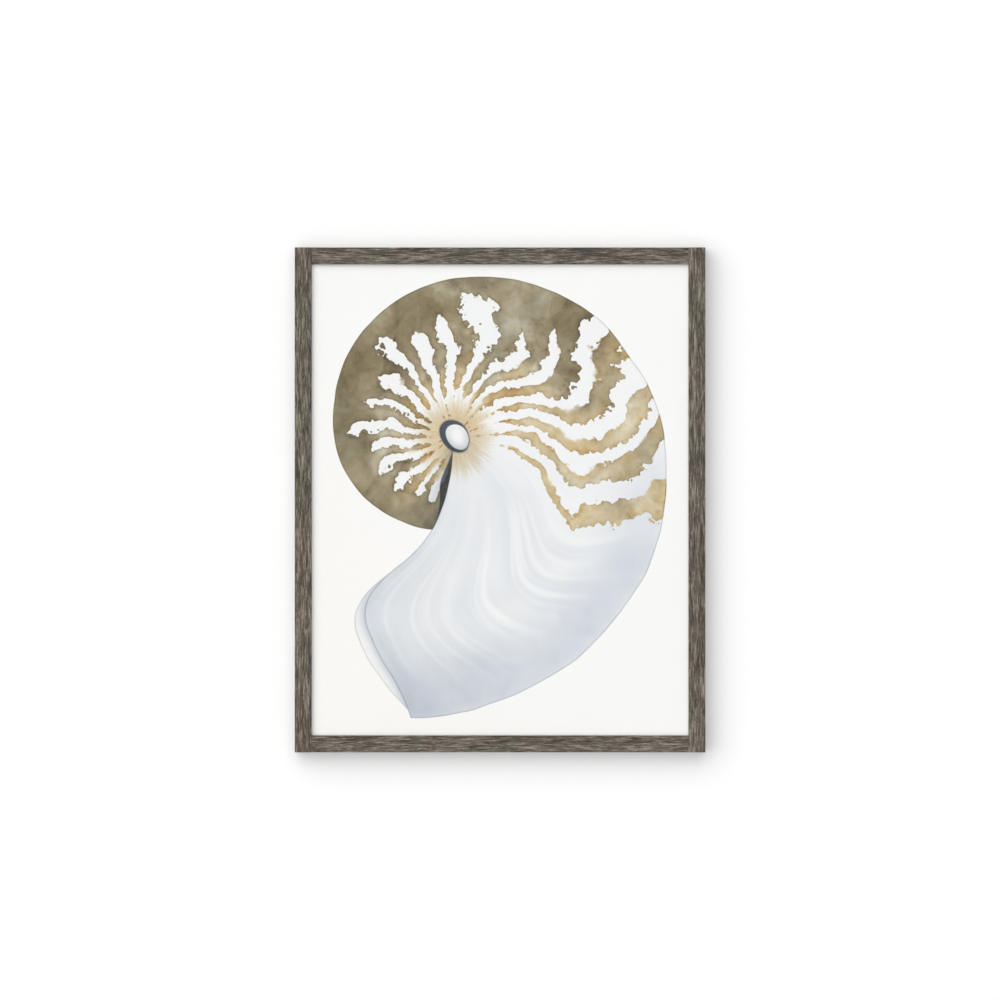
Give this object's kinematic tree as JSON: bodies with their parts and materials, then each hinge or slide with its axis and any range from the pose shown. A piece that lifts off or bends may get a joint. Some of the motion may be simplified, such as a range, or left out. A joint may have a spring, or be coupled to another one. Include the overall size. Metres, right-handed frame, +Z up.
{
  "type": "framed art print",
  "caption": "Glazed art print of a nautilus shell in a narrow butt-jointed wooden frame, hung from a sawtooth hanger on its back.",
  "frame": {"origin": "the hanging point: apex of the middle notch of the sawtooth hanger, in the middle of the plate's thickness, on the frame's centre line 8.75 mm below its top edge", "axes": "+Z up, +X to the right as seen from the front, the picture faces -Y and the wall is on the +Y side"},
  "size_m": [0.436, 0.0283, 0.536],
  "materials": {
    "frame_wood": "weathered grey-brown, wire brushed, matt",
    "pane": "clear picture glass",
    "print": "matt watercolour paper, printed",
    "hardboard": "brown hardboard, screened face out",
    "steel": "zinc plated, dull",
    "pad_rubber": "black, matt"
  },
  "bodies": {
    "root": {"left_stile": "frame_wood", "right_stile": "frame_wood", "top_rail": "frame_wood", "bottom_rail": "frame_wood", "glass_pane": "pane", "print_sheet": "print", "backing_board": "hardboard", "point_left_1": "steel", "point_left_2": "steel", "point_left_3": "steel", "point_left_4": "steel", "point_right_1": "steel", "point_right_2": "steel", "point_right_3": "steel", "point_right_4": "steel", "point_bottom_1": "steel", "point_bottom_2": "steel", "point_bottom_3": "steel", "point_top_1": "steel", "point_top_2": "steel", "point_top_3": "steel", "staple_top_left": "steel", "staple_top_right": "steel", "staple_bottom_left": "steel", "staple_bottom_right": "steel", "sawtooth_hanger": "steel", "hanger_nail_left": "steel", "hanger_nail_right": "steel", "wall_pad_left": "pad_rubber", "wall_pad_right": "pad_rubber"}
  },
  "joints": []
}
